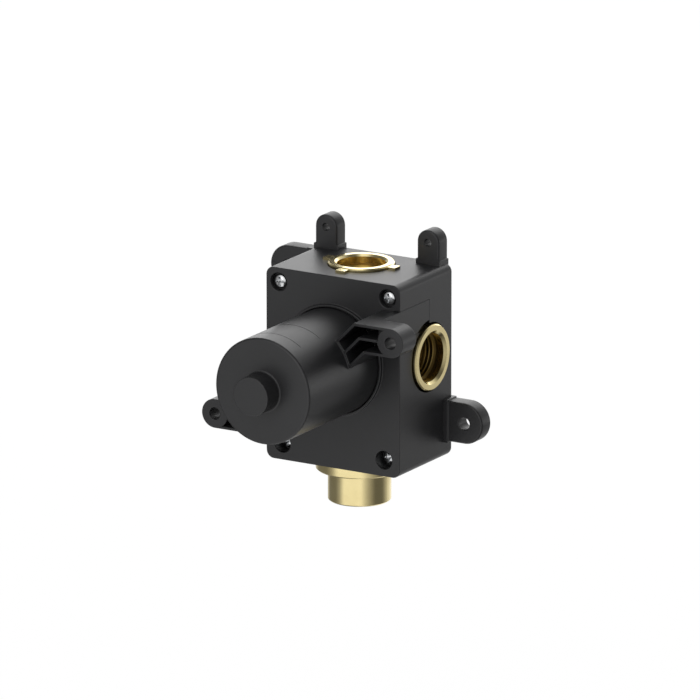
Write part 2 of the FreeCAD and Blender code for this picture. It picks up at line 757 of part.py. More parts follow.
def spindle():
    """Turned brass spindle: driving flange, sealed journal, shaft and splined handle end."""
    journal_end = clip_start() + 2 * CLIP_W
    shaft_r = SPINDLE_R - SHAFT_STEP
    spline_start = SPINDLE_TIP - SPLINE_L
    stem = turned([
        (0, FLANGE_AT),
        (FLANGE_DISC_R, FLANGE_AT),
        (FLANGE_DISC_R, WASHER_AT),
        (SPINDLE_R, WASHER_AT),
        (SPINDLE_R, journal_end),
        (shaft_r, journal_end + SHAFT_STEP),
        (shaft_r, spline_start),
        (0, spline_start),
    ])
    points = []
    for step in range(2 * SPLINE_TEETH):
        angle = math.pi * step / SPLINE_TEETH
        radius = SPLINE_R - SPLINE_DEPTH * (step % 2)
        points.append((radius * math.cos(angle), radius * math.sin(angle)))
    spline = raised(points, spline_start, SPINDLE_TIP)
    ring_r = SPINDLE_R + STEM_RING_GAP
    cuts = [ring_groove(ring_r, STEM_RING_D, middle) for middle in stem_ring_places()]
    cuts.append(rod(SPINDLE_R, clip_start(), clip_start() + CLIP_W).cut(
        rod(SPINDLE_R - CLIP_DEPTH, clip_start(), clip_start() + CLIP_W)))
    cuts.append(rod(HANDLE_SCREW_R, SPINDLE_TIP - HANDLE_SCREW_L, SPINDLE_TIP))
    return stem.multiFuse([spline, blade(0)]).cut(cuts).removeSplitter()


def spindle_o_rings():
    ring_r = SPINDLE_R + STEM_RING_GAP
    return Part.makeCompound([o_ring(ring_r, STEM_RING_D, middle) for middle in stem_ring_places()])


def spindle_circlip():
    start = clip_start()
    inner = SPINDLE_R - CLIP_DEPTH
    return stop_sector(inner, SPINDLE_R + CLIP_OUT, start, start + CLIP_W, 0, 360 - CLIP_MOUTH)


def thrust_washer():
    end = WASHER_AT + WASHER_T
    return rod(FLANGE_DISC_R, WASHER_AT, end).cut(rod(SPINDLE_R + RUN_FIT, WASHER_AT, end))


def bonnet_nut():
    corner_r = NECK_R - NUT_HEX_STEP
    corners = [math.pi * step / 3 for step in range(6)]
    points = [(corner_r * math.cos(angle), corner_r * math.sin(angle)) for angle in corners]
    hex_start = NECK_MOUTH + NUT_HEX_GAP
    head = raised(points, hex_start, hex_start + NUT_HEX_H)
    nut = rod(NUT_R - SCREW_FIT, NUT_AT, hex_start).fuse(head)
    return nut.cut(rod(STEM_R + SLIDE_GAP, NUT_AT, hex_start + NUT_HEX_H))


PIECES = [
    rear_box,
    front_cover,
    cover_screws,
    guard,
    valve_body,
    top_outlet,
    side_outlet,
    inlet_adaptor,
    port_o_rings,
    cartridge_base,
    base_seals,
    fixed_disc,
    moving_disc,
    disc_driver,
    cartridge_housing,
    cartridge_o_ring,
    spindle,
    spindle_o_rings,
    spindle_circlip,
    thrust_washer,
    bonnet_nut,
]

os.makedirs("parts", exist_ok=True)
for piece in PIECES:
    shape = piece()
    shape.rotate(Vector(0, 0, 0), Vector(1, 0, 0), 90)
    shape.exportStep("parts/" + piece.__name__ + ".step")
    print(piece.__name__, len(shape.Solids), "solids", round(shape.Volume, 1), "mm3, valid", shape.isValid())
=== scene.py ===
import json
import math

import bmesh
import bpy
import numpy as np
from bpy.props import FloatProperty, FloatVectorProperty, IntProperty, PointerProperty
from bpy.types import Operator, Panel, PropertyGroup
from mathutils import Matrix, Vector


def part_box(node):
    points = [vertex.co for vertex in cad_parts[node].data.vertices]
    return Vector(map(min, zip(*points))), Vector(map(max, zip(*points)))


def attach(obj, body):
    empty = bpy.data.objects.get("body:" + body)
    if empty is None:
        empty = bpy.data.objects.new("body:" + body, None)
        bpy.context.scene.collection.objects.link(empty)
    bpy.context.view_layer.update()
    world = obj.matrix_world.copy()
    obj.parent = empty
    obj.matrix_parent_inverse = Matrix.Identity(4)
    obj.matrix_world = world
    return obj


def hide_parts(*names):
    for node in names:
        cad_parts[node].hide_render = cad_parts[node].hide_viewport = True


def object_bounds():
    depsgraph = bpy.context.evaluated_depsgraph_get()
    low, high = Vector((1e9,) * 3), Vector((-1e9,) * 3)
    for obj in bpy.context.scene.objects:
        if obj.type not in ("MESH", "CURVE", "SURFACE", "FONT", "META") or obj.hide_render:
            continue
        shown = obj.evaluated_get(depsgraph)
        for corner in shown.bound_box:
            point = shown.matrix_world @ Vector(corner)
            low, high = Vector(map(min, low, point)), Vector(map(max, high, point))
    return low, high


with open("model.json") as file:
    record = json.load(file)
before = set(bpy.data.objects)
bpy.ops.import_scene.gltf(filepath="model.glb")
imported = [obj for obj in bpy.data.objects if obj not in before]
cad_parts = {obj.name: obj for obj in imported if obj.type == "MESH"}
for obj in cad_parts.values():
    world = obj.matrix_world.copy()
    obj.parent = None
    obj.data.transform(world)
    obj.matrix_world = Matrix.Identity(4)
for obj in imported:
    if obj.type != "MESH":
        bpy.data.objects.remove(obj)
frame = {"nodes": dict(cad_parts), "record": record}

bl_info = {
    "name": "Concealed shower diverter valve",
    "version": (1, 0, 0),
    "blender": (4, 5, 0),
    "location": "View3D > Sidebar > Valve",
    "description": "Finishes a concealed shower diverter valve: moulded shells, threads, screws, seals and stage",
    "category": "Object",
}

CAD_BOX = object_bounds()
RECORD = frame["record"]
MOUNTS = {mount["name"]: mount for mount in RECORD["mounts"]}
PORTS = ("top_outlet", "side_outlet", "inlet")
CARTRIDGE_AXIS = Vector((0, -1, 0))
TURN = 2 * math.pi
SPINDLE_HOLE_R = 0.00165

# Corners nearer than SAME_PLACE to a plane or a round lie in it, and those nearer than MERGE_GAP are one corner
SAME_PLACE = 0.00001
MERGE_GAP = SAME_PLACE / 10

# Faces that turn by less than FLAT_TURN are one face, and new pieces shade as smooth up to SMOOTH_TURN
FLAT_TURN = math.radians(0.3)
SMOOTH_TURN = math.radians(35)

# Turn between the cuts in the tower's wall, and the room beside an edge that is rounded, in widths of the rounding
WALL_STEP = math.radians(3)
EDGE_ROOM = 1.2

# Pipe thread: turns over which the ridge fades in and out, what is left of its width and of its height at both
# ends, half its base in pitches, and how far the corners of its section stand in from the bore's wall, in depths
RIDGE_FADE = 0.4
RIDGE_END_WIDTH = 0.3
RIDGE_END_HEIGHT = 0.03
RIDGE_BASE = 0.46
RIDGE_REACH = (-0.06, 0.9, 1.0, 0.9, -0.06)

# Cross recess: half the slope of its walls in half widths, the share of its depth that is lost along an arm, and
# how far the columns along its walls may turn, in eighths of a turn
RECESS_SLOPE = 0.28
RECESS_TAPER = 0.45
RECESS_LIMITS = (0, 0.4, 0.8, 0.84, 0.88, 0.92, 0.96)

# Screws: corners beyond this share of the head's radius are on its rim; rows of the head and of the shank, and the
# turn of the first row; inner radius of the seat as a share, the rim's height, and how far the thread fades
ON_RIM = 0.9
HEAD_ROWS = 48
SHANK_ROWS = 120
FIRST_ROW = 0.01
SEAT_SHARE = 0.97
RIM_HEIGHT = 0.0001
POINT_FADE = 0.0012

# Rubber rings: steps round the ring and round its section
RING_STEPS = 96
RING_SIDES = 20

# Lamps: name, setting for the power, azimuth and elevation in degrees, distance and size
LAMPS = (
    ("key_lamp", "key_power", 200, 27, 1.2, 1.2),
    ("rim_lamp", "rim_power", 140, -4, 1.0, 0.30),
    ("fill_lamp", "fill_power", -12, 12, 1.4, 0.5),
)

# Floor: width, grey, glow, and the share of the glow in what the camera and the metal see of it
FLOOR_SIZE = 6.0
FLOOR_GREY = (0.85, 0.85, 0.85)
FLOOR_GLOW = 1.02
FLOOR_SHOWN = 0.95

# How bright the studio is at each turn from the front, in degrees to the right
STUDIO_LEVELS = (
    (-180, 1.0), (-150, 1.0), (-125, 0.55), (-100, 0.14), (-60, 0.14), (-42, 0.34), (-26, 0.95), (34, 1.0),
    (48, 0.6), (62, 0.36), (84, 0.1), (118, 0.1), (134, 0.3), (150, 0.6), (180, 1.0),
)


class PlasticSettings(PropertyGroup):
    """Mouldings: the rounding of their edges and their finish"""
    tower_r: FloatProperty(
        name="Tower radius", description="Outer radius of the guard's round tower", default=0.023, unit="LENGTH")
    edge_round: FloatProperty(
        name="Edge round", description="Radius of the moulded edges", default=0.00028, unit="LENGTH")
    edge_angle: FloatProperty(
        name="Edge angle", description="Sharper edges than this are rounded", default=math.radians(50),
        subtype="ANGLE")
    edge_steps: IntProperty(
        name="Edge steps", description="Faces across a rounded edge", default=3, min=1)
    black: FloatVectorProperty(
        name="Black", description="Colour of the moulded shells", default=(0.014, 0.014, 0.015), subtype="COLOR")
    roughness: FloatProperty(
        name="Roughness", description="Gloss of the satin moulding", default=0.40, subtype="FACTOR")
    grain: FloatProperty(
        name="Grain", description="Size of the moulded grain", default=0.00022, unit="LENGTH")
    white: FloatVectorProperty(
        name="White", description="Colour of the cartridge's plastic", default=(0.66, 0.65, 0.61), subtype="COLOR")


class MetalSettings(PropertyGroup):
    """Brass and plated steel"""
    brass: FloatVectorProperty(
        name="Brass", description="Colour of clean brass", default=(0.95, 0.81, 0.43), subtype="COLOR")
    brass_dull: FloatVectorProperty(
        name="Dull brass", description="Colour of brass with a light tarnish", default=(0.82, 0.68, 0.34),
        subtype="COLOR")
    # Painted shade: dark brass colour laid deep in the bores of the side outlet and the inlet and in the spindle's
    # screw hole, where they lie in shade
    bore_shade: FloatVectorProperty(
        name="Bore brass", description="Colour of the dark brass in the side outlet, the inlet and the spindle",
        default=(0.24, 0.17, 0.06), subtype="COLOR")
    # Painted light: a lighter bore colour for the top outlet, whose bore is lit from above
    top_bore_shade: FloatVectorProperty(
        name="Top bore brass", description="Colour of the cleaner brass inside the top outlet",
        default=(0.66, 0.49, 0.18), subtype="COLOR")
    brass_roughness: FloatProperty(
        name="Brass roughness", description="Gloss of turned brass", default=0.12, subtype="FACTOR")
    tool_mark: FloatProperty(
        name="Tool mark", description="Spacing of the turning marks", default=0.00016, unit="LENGTH")
    zinc: FloatVectorProperty(
        name="Zinc", description="Colour of the plated screws", default=(0.78, 0.79, 0.80), subtype="COLOR")
    zinc_roughness: FloatProperty(
        name="Zinc roughness", description="Gloss of the plated screws", default=0.17, subtype="FACTOR")


class ThreadSettings(PropertyGroup):
    """Pipe thread of the three ports"""
    pitch: FloatProperty(
        name="Pitch", description="Rise of the pipe thread in one turn", default=0.001814, unit="LENGTH")
    depth: FloatProperty(
        name="Depth", description="Height of the pipe thread's ridge", default=0.00116, unit="LENGTH")
    lead: FloatProperty(
        name="Lead", description="Plain stretch of bore between the mouth and the thread", default=0.0026,
        unit="LENGTH")
    crest: FloatProperty(
        name="Crest", description="Width of the ridge's rounded top", default=0.0005, unit="LENGTH")
    steps: IntProperty(
        name="Steps", description="Sections in one turn", default=96, min=24)


class ScrewSettings(PropertyGroup):
    """Pan-head screws of the cover"""
    crown: FloatProperty(
        name="Crown", description="Height of the domed part of the head", default=0.0014, unit="LENGTH")
    bulge: FloatProperty(
        name="Bulge", description="Roundness of the head, where 2 is an ellipse", default=2.5)
    recess_length: FloatProperty(
        name="Recess length", description="Length of the cross recess", default=0.0038, unit="LENGTH")
    recess_width: FloatProperty(
        name="Recess width", description="Width of the cross recess", default=0.00085, unit="LENGTH")
    recess_depth: FloatProperty(
        name="Recess depth", description="Depth of the cross recess at its middle", default=0.0024, unit="LENGTH")
    shank_r: FloatProperty(
        name="Shank radius", description="Radius over the screw's thread", default=0.0016, unit="LENGTH")
    pitch: FloatProperty(
        name="Pitch", description="Rise of the screw's thread in one turn", default=0.0013, unit="LENGTH")
    thread: FloatProperty(
        name="Thread", description="Depth of the screw's thread", default=0.0004, unit="LENGTH")


class StudioSettings(PropertyGroup):
    """Camera, floor and lamps"""
    azimuth: FloatProperty(
        name="Azimuth", description="Camera's turn to the right of the front", default=math.radians(30.96),
        subtype="ANGLE")
    elevation: FloatProperty(
        name="Elevation", description="Camera's height over the level", default=math.radians(15.52),
        subtype="ANGLE")
    distance: FloatProperty(
        name="Distance", description="From the camera to the point that it aims at", default=5.0, unit="LENGTH")
    view_width: FloatProperty(
        name="View width", description="Width of the picture at the aimed point", default=0.2947, unit="LENGTH")
    aim: FloatVectorProperty(
        name="Aim", description="Point at the middle of the picture", default=(0.008445, -0.044, 0.00562),
        subtype="TRANSLATION")
    floor_drop: FloatProperty(
        name="Floor drop", description="From the valve's lowest point down to the floor", default=0.1,
        unit="LENGTH")
    key_power: FloatProperty(
        name="Key power", description="Power of the wide lamp above and behind", default=5.8, unit="POWER")
    rim_power: FloatProperty(
        name="Rim power", description="Power of the lamp behind on the right", default=0.4, unit="POWER")
    fill_power: FloatProperty(
        name="Fill power", description="Power of the soft lamp at the front left", default=1.1, unit="POWER")


class Value:
    """A shader socket that can be used in a Python expression: each operator adds one Math node."""

    def __init__(self, recipe, socket):
        self.recipe = recipe
        self.socket = socket

    def math(self, operation, first, second):
        return self.recipe.node("ShaderNodeMath", {"operation": operation}, {0: first, 1: second})

    def __add__(self, other):
        return self.math("ADD", self, other)

    __radd__ = __add__

    def __sub__(self, other):
        return self.math("SUBTRACT", self, other)

    def __rsub__(self, other):
        return self.math("SUBTRACT", other, self)

    def __mul__(self, other):
        return self.math("MULTIPLY", self, other)

    __rmul__ = __mul__

    def __pow__(self, other):
        return self.math("POWER", self, other)


class Recipe:
    """The node tree of a material or world, with one method that makes any node."""

    def __init__(self, owner):
        owner.use_nodes = True
        self.tree = owner.node_tree
        self.tree.nodes.clear()

    def node(self, kind, settings=None, sockets=None, output=0):
        """Add a node, set its settings first, then fill its sockets, and return one output as a Value."""
        made = self.tree.nodes.new(kind)
        for name, setting in (settings or {}).items():
            if name == "stops":
                ramp = made.color_ramp.elements
                while len(ramp) < len(setting):
                    ramp.new(1.0)
                for element, (place, grey) in zip(ramp, setting):
                    element.position = place
                    element.color = (grey, grey, grey, 1.0)
            else:
                setattr(made, name, setting)
        for name, value in (sockets or {}).items():
            socket = made.inputs[name]
            if isinstance(value, Value):
                self.tree.links.new(value.socket, socket)
            elif hasattr(socket.default_value, "__len__") and len(socket.default_value) == 4:
                socket.default_value = (*value, 1.0)
            else:
                socket.default_value = value
        return Value(self, made.outputs[output]) if made.outputs else None

    def place(self):
        """Object coordinates, in metres in the part's own frame."""
        return self.node("ShaderNodeTexCoord", output="Object")

    def noise(self, place, size, detail=3.0, spread=0.5):
        """Cloudy value between 0 and 1 whose blotches are about one size across."""
        return self.node("ShaderNodeTexNoise", {}, {
            "Vector": place, "Scale": 1 / size, "Detail": detail, "Roughness": spread}, output="Fac")

    def ramp(self, value, *stops):
        """Grey ramp through (place, level) stops."""
        return self.node("ShaderNodeValToRGB", {"stops": stops}, {"Fac": value})

    def blend(self, amount, first, second):
        """Colour that goes from the first to the second as the amount goes from 0 to 1."""
        return self.node("ShaderNodeMix", {"data_type": "RGBA"}, {
            "Factor": amount, 6: first, 7: second}, output=2)

    def bump(self, height, depth, strength=1.0):
        """Normal that is tilted by a height between 0 and 1, where 1 is the given depth."""
        return self.node("ShaderNodeBump", {}, {"Height": height, "Distance": depth, "Strength": strength})

    def dot(self, first, second):
        """Dot product of two vectors."""
        return self.node("ShaderNodeVectorMath", {"operation": "DOT_PRODUCT"}, {
            0: first, 1: second}, output="Value")

    def part(self, vector, letter):
        """One part of a vector: X, Y or Z."""
        return self.node("ShaderNodeSeparateXYZ", {}, {"Vector": vector}, output=letter)

    def surface(self, shader):
        """Make a shader the surface of the material."""
        self.node("ShaderNodeOutputMaterial", {}, {"Surface": shader})


def new_material(name):
    """A new material and the recipe of its nodes."""
    material = bpy.data.materials.new(name)
    return material, Recipe(material)


def black_plastic(settings):
    """Satin black moulding: fine spark-eroded grain, slow changes of gloss and a faint grey bloom."""
    material, recipe = new_material("black_plastic")
    place = recipe.place()
    cloud = recipe.noise(place, size=0.012)
    grain = recipe.noise(place, size=settings.grain, detail=2.0)
    lighter = tuple(2.0 * channel for channel in settings.black)
    recipe.surface(recipe.node("ShaderNodeBsdfPrincipled", {}, {
        "Base Color": recipe.blend(cloud * 0.5 + grain * 0.3, settings.black, lighter),
        "Roughness": settings.roughness - 0.04 + cloud * 0.05 + grain * 0.05,
        "Normal": recipe.bump(grain, depth=0.00001, strength=0.6),
        "IOR": 1.5,
    }))
    return material


def turned_brass(name, centre, axis, bore, bore_shade_color, shaded_from, settings):
    """Turned brass: fine rings about an axis, patches of thin tarnish, and painted shade deep in the bore.

    The rings follow axial + radial distance, so that they run round a bore and circle on an end face.
    """
    material, recipe = new_material(name)
    place = recipe.place()
    offset = recipe.node("ShaderNodeVectorMath", {"operation": "SUBTRACT"}, {0: place, 1: centre})
    axial = recipe.dot(offset, axis)
    square = recipe.dot(offset, offset)
    radial = (square - axial * axial) ** 0.5
    marks = recipe.node("ShaderNodeTexNoise", {"noise_dimensions": "1D"}, {
        "W": axial + radial, "Scale": 1 / settings.tool_mark, "Detail": 2.0}, output="Fac")
    cloud = recipe.noise(place, size=0.009)
    speckle = recipe.noise(place, size=0.0007)
    tarnish = recipe.ramp(cloud, (0.35, 0.0), (0.75, 0.75))
    # Painted shade: deep in the bore, past the plain lead, the brass is coloured dark
    deep = axial.math("LESS_THAN", axial, shaded_from)
    inside = recipe.ramp(radial * (0.5 / bore), (0.495, 1.0), (0.53, 0.0)) * deep
    polished = recipe.blend(tarnish, settings.brass, settings.brass_dull)
    recipe.surface(recipe.node("ShaderNodeBsdfPrincipled", {}, {
        "Base Color": recipe.blend(inside, polished, bore_shade_color),
        "Metallic": 1.0,
        "Roughness": settings.brass_roughness + cloud * 0.06 + marks * 0.05 + speckle * 0.03 + inside * 0.15,
        "Normal": recipe.bump(marks, depth=0.000006, strength=0.5),
    }))
    return material


def cast_brass(settings):
    """Cast brass body: pebbled as the sand left it, duller than the turned pieces."""
    material, recipe = new_material("cast_brass")
    place = recipe.place()
    pebble = recipe.noise(place, size=0.0009, detail=4.0)
    cloud = recipe.noise(place, size=0.011)
    recipe.surface(recipe.node("ShaderNodeBsdfPrincipled", {}, {
        "Base Color": recipe.blend(cloud * 0.6 + pebble * 0.4, settings.brass, settings.brass_dull),
        "Metallic": 1.0,
        "Roughness": 0.34 + pebble * 0.2,
        "Normal": recipe.bump(pebble, depth=0.00006, strength=0.7),
    }))
    return material


def plated_steel(settings):
    """Bright zinc plating: a cool grey with soft blotches of gloss."""
    material, recipe = new_material("plated_steel")
    place = recipe.place()
    blotch = recipe.noise(place, size=0.0016)
    duller = tuple(0.8 * channel for channel in settings.zinc)
    recipe.surface(recipe.node("ShaderNodeBsdfPrincipled", {}, {
        "Base Color": recipe.blend(blotch, settings.zinc, duller),
        "Metallic": 1.0,
        "Roughness": settings.zinc_roughness - 0.04 + blotch * 0.1,
        "Normal": recipe.bump(blotch, depth=0.00001, strength=0.3),
    }))
    return material


def seal_rubber():
    """Matt black sealing rubber with a trace of grease."""
    material, recipe = new_material("seal_rubber")
    place = recipe.place()
    grease = recipe.noise(place, size=0.002)
    recipe.surface(recipe.node("ShaderNodeBsdfPrincipled", {}, {
        "Base Color": recipe.blend(grease, (0.012, 0.012, 0.012), (0.03, 0.03, 0.03)),
        "Roughness": 0.7 - grease * 0.3,
        "Normal": recipe.bump(recipe.noise(place, size=0.0003), depth=0.00001, strength=0.5),
    }))
    return material


def white_plastic(settings):
    """Off-white bearing plastic with a faint flow pattern."""
    material, recipe = new_material("white_plastic")
    place = recipe.place()
    flow = recipe.noise(place, size=0.006)
    shade = tuple(0.85 * channel for channel in settings.white)
    recipe.surface(recipe.node("ShaderNodeBsdfPrincipled", {}, {
        "Base Color": recipe.blend(flow, settings.white, shade),
        "Roughness": 0.42 + flow * 0.12,
        "Normal": recipe.bump(recipe.noise(place, size=0.0003), depth=0.000008, strength=0.4),
        "Subsurface Weight": 0.05,
    }))
    return material


def lapped_ceramic():
    """Lapped alumina disc: pale ivory, nearly polished, with a few faint specks."""
    material, recipe = new_material("lapped_ceramic")
    place = recipe.place()
    specks = recipe.ramp(recipe.noise(place, size=0.0004), (0.66, 0.0), (0.72, 1.0))
    recipe.surface(recipe.node("ShaderNodeBsdfPrincipled", {}, {
        "Base Color": recipe.blend(specks, (0.80, 0.78, 0.73), (0.55, 0.52, 0.47)),
        "Roughness": 0.12 + recipe.noise(place, size=0.004) * 0.08,
    }))
    return material


def dress(material, *nodes):
    """Give a finish to pieces of the frame."""
    for node in nodes:
        for slot in frame["nodes"][node].material_slots:
            slot.material = material


def node_points(node):
    """Corner points of a node of the frame as an array with one row each."""
    vertices = frame["nodes"][node].data.vertices
    points = np.empty(3 * len(vertices))
    vertices.foreach_get("co", points)
    return points.reshape(-1, 3)


def grid_faces(rows, columns, close_rows=False):
    """Four-cornered faces of a grid of points whose columns close on themselves."""
    row = np.arange(rows if close_rows else rows - 1)[:, None]
    column = np.arange(columns)[None, :]
    after = (row + 1) % rows
    beside = (column + 1) % columns
    corners = (row * columns + column, row * columns + beside, after * columns + beside, after * columns + column)
    return np.stack(corners, axis=-1).reshape(-1, 4)


def mark_sharp(shell, angle):
    """Mark the edges whose faces meet at more than an angle as sharp, and all others as smooth."""
    shell.normal_update()
    for edge in shell.edges:
        edge.smooth = edge.calc_face_angle(0) < angle


def add_piece(name, surfaces, material, body, replaced=()):
    """Make one object of (points, quads, caps) surfaces and let it ride on a body.

    Points are an array with one row each, quads an array of four-cornered faces and caps a list of end faces.
    """
    points = np.concatenate([surface[0] for surface in surfaces])
    faces = []
    start = 0
    for corners, quads, caps in surfaces:
        faces += (quads + start).tolist()
        faces += [[start + int(corner) for corner in cap] for cap in caps]
        start += len(corners)
    mesh = bpy.data.meshes.new(name)
    mesh.from_pydata(points.tolist(), [], faces)
    mesh.validate()
    mesh.shade_smooth()
    shell = bmesh.new()
    shell.from_mesh(mesh)
    bmesh.ops.recalc_face_normals(shell, faces=shell.faces)
    mark_sharp(shell, SMOOTH_TURN)
    shell.to_mesh(mesh)
    shell.free()
    mesh.materials.append(material)
    piece = bpy.data.objects.new(name, mesh)
    bpy.context.scene.collection.objects.link(piece)
    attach(piece, body)
    if replaced:
        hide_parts(*replaced)
    return piece


def axis_basis(axis):
    """Two unit vectors square to an axis, then the axis itself, as rows of an array."""
    along = np.array(axis, float)
    helper = np.array((0.0, 1.0, 0.0)) if abs(along[1]) < 0.9 else np.array((1.0, 0.0, 0.0))
    first = np.cross(helper, along)
    first /= np.linalg.norm(first)
    return np.stack((first, np.cross(along, first), along))


def round_points(centre, axis, angle, radius, height):
    """Points of a round surface: centre + radius (cos angle, sin angle) across the axis + height along it."""
    first, second, along = axis_basis(axis)
    parts = np.broadcast_arrays(angle, radius, height)
    angle, radius, height = (part[..., None] for part in parts)
    points = np.asarray(centre) + radius * (np.cos(angle) * first + np.sin(angle) * second) + height * along
    return points.reshape(-1, 3)


def ramp_up(value, start, end):
    """Smooth step of an array: 0 before start, 1 after end, 3t^2 - 2t^3 between them."""
    share = np.clip((value - start) / (end - start), 0, 1)
    return share * share * (3 - 2 * share)


def flush_edge(edge, seam, side, front):
    """True for an edge that meets its neighbour flush: in the cover's seam, or in a side wall behind its front."""
    ends = [vertex.co for vertex in edge.verts]
    in_seam = all(abs(end.y - seam) < SAME_PLACE for end in ends)
    in_side = all(abs(abs(end.x) - side) < SAME_PLACE for end in ends)
    in_front = all(abs(end.y - front) < SAME_PLACE for end in ends)
    return in_seam or (in_side and not in_front)


def on_round(spots, radius):
    """True where all spots lie on a round wall about the cartridge axis."""
    return all(abs(math.hypot(spot.x, spot.z) - radius) < SAME_PLACE for spot in spots)


def even_round(shell, radius):
    """Cut the faces of a round wall about the cartridge axis at even turns and set the new corners on the round."""

    def wall_faces():
        return [face for face in shell.faces if on_round([vertex.co for vertex in face.verts], radius)]

    bmesh.ops.triangulate(shell, faces=wall_faces())
    for turn in np.arange(0, math.pi, WALL_STEP):
        faces = wall_faces()
        edges = {edge for face in faces for edge in face.edges}
        corners = {vertex for face in faces for vertex in face.verts}
        cut = bmesh.ops.bisect_plane(
            shell, geom=[*faces, *edges, *corners], dist=MERGE_GAP, plane_co=(0, 0, 0),
            plane_no=(math.cos(turn), 0, math.sin(turn)))
        for corner in cut["geom_cut"]:
            if isinstance(corner, bmesh.types.BMVert):
                reach = radius / math.hypot(corner.co.x, corner.co.z)
                corner.co.x *= reach
                corner.co.z *= reach


def straight_normals(piece, radius):
    """Bake a shell's modifiers and point the normals of its round wall straight out from the cartridge axis."""
    mesh = bpy.data.meshes.new_from_object(piece.evaluated_get(bpy.context.evaluated_depsgraph_get()))
    normals = [corner.vector.copy() for corner in mesh.corner_normals]
    for face in mesh.polygons:
        spots = [mesh.vertices[index].co for index in face.vertices]
        if on_round(spots, radius):
            for corner, spot in zip(face.loop_indices, spots):
                normals[corner] = (spot.x / radius, 0, spot.z / radius)
    mesh.normals_split_custom_set(normals)
    piece.modifiers.clear()
    piece.data = mesh


def has_room(edge, width):
    """True where the faces beside an edge, and the edges at both its ends, reach further than the given width.

    A merged face of many corners can be a long strip, and its width is twice its area over its outline.
    """
    for face in edge.link_faces:
        along = edge.calc_length() if len(face.verts) <= 4 else face.calc_perimeter() / 2
        if face.calc_area() < width * along:
            return False
    return all(near.calc_length() > width for end in edge.verts for near in end.link_edges)


def rounded_copy(node, settings, material):
    """Copy of a moulded shell with its corners merged and its sharp edges rounded, apart from flush joins."""
    mesh = frame["nodes"][node].data.copy()
    mesh.name = node + "_moulded"
    shell = bmesh.new()
    shell.from_mesh(mesh)
    bmesh.ops.remove_doubles(shell, verts=shell.verts, dist=MERGE_GAP)
    bmesh.ops.dissolve_limit(shell, angle_limit=FLAT_TURN, verts=shell.verts, edges=shell.edges)
    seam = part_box("rear_box")[0][1]
    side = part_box("front_cover")[1][0]
    front = min(vertex.co.y for vertex in shell.verts if abs(abs(vertex.co.x) - side) < SAME_PLACE)
    weight = shell.edges.layers.float.new("bevel_weight_edge")
    for edge in shell.edges:
        sharp = edge.is_manifold and edge.calc_face_angle() > settings.edge_angle
        free = has_room(edge, EDGE_ROOM * settings.edge_round) and not flush_edge(edge, seam, side, front)
        edge[weight] = float(sharp and free)
    if node == "guard":
        even_round(shell, settings.tower_r)
    for face in shell.faces:
        face.smooth = True
    mark_sharp(shell, settings.edge_angle)
    shell.to_mesh(mesh)
    shell.free()
    mesh.materials.clear()
    mesh.materials.append(material)
    piece = bpy.data.objects.new(mesh.name, mesh)
    bpy.context.scene.collection.objects.link(piece)
    rounding = piece.modifiers.new("edge_round", "BEVEL")
    rounding.width = settings.edge_round
    rounding.segments = settings.edge_steps
    rounding.limit_method = "WEIGHT"
    rounding.use_clamp_overlap = False
    shading = piece.modifiers.new("flat_faces", "WEIGHTED_NORMAL")
    shading.weight = 50
    shading.keep_sharp = True
    if node == "guard":
        straight_normals(piece, settings.tower_r)
    return piece


class VALVE_OT_moulded_shells(Operator):
    """Round the edges of the wall box, its cover and the guard, and give them their satin black finish"""
    bl_idname = "valve.moulded_shells"
    bl_label = "Moulded shells"

    def execute(self, context):
        settings = context.scene.valve_plastic
        material = black_plastic(settings)
        for node, body in (("rear_box", "box"), ("front_cover", "box"), ("guard", "guard")):
            piece = rounded_copy(node, settings, material)
            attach(piece, body)
            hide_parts(node)
        return {"FINISHED"}


def thread_ridge(port, settings):
    """Ridge of an inside pipe thread: a five-sided section carried along a helix.

    At turn t the section's middle lies at height start + pitch t on the port's axis. Its base sits just
    inside the bore's wall and its crest stands in by the depth, which fades to nothing at both ends.
    """
    mount = MOUNTS[port + "_thread"]
    bore = mount["dims"]["r_mm"] / 1000
    length = mount["dims"]["length_mm"] / 1000
    room = settings.pitch / 2
    turns = (length - settings.lead - 2 * room) / settings.pitch
    turn = np.linspace(0, turns, int(turns * settings.steps))[:, None]
    stand = ramp_up(turn, 0, RIDGE_FADE) * ramp_up(turns - turn, 0, RIDGE_FADE)
    half_base = settings.pitch * RIDGE_BASE
    half_crest = settings.crest / 2
    along = np.array((-half_base, -half_crest, 0, half_crest, half_base))
    reach = np.array(RIDGE_REACH)
    height = room - length / 2 + turn * settings.pitch + along * (RIDGE_END_WIDTH + (1 - RIDGE_END_WIDTH) * stand)
    swell = RIDGE_END_HEIGHT + (1 - RIDGE_END_HEIGHT) * stand
    inward = np.where(reach > 0, reach * swell, reach) * settings.depth
    points = round_points(mount["pos_m"], mount["axis"], turn * TURN, bore - inward, height)
    sides = len(along)
    last = len(points) - sides
    caps = [range(sides), range(last + sides - 1, last - 1, -1)]
    return points, grid_faces(len(turn), sides), caps


class VALVE_OT_port_threads(Operator):
    """Add the pipe thread's ridges to the brass ports and give the brass its turned finish, with painted shade deep
    in the bores
    """
    bl_idname = "valve.port_threads"
    bl_label = "Port threads"

    def execute(self, context):
        metal = context.scene.valve_metal
        threads = context.scene.valve_thread
        for port, node in zip(PORTS, ("top_outlet", "side_outlet", "inlet_adaptor")):
            mount = MOUNTS[port + "_thread"]
            bore = mount["dims"]["r_mm"] / 1000
            shaded_from = mount["dims"]["length_mm"] / 2000 - threads.lead
            # Painted shade deep in each bore; the top outlet's is lighter, as its bore is lit from above
            bore_shade_color = metal.top_bore_shade if node == "top_outlet" else metal.bore_shade
            brass = turned_brass(
                node + "_brass", mount["pos_m"], mount["axis"], bore, bore_shade_color, shaded_from, metal)
            dress(brass, node)
            add_piece(port + "_thread_ridge", [thread_ridge(port, threads)], brass, "box")
        return {"FINISHED"}


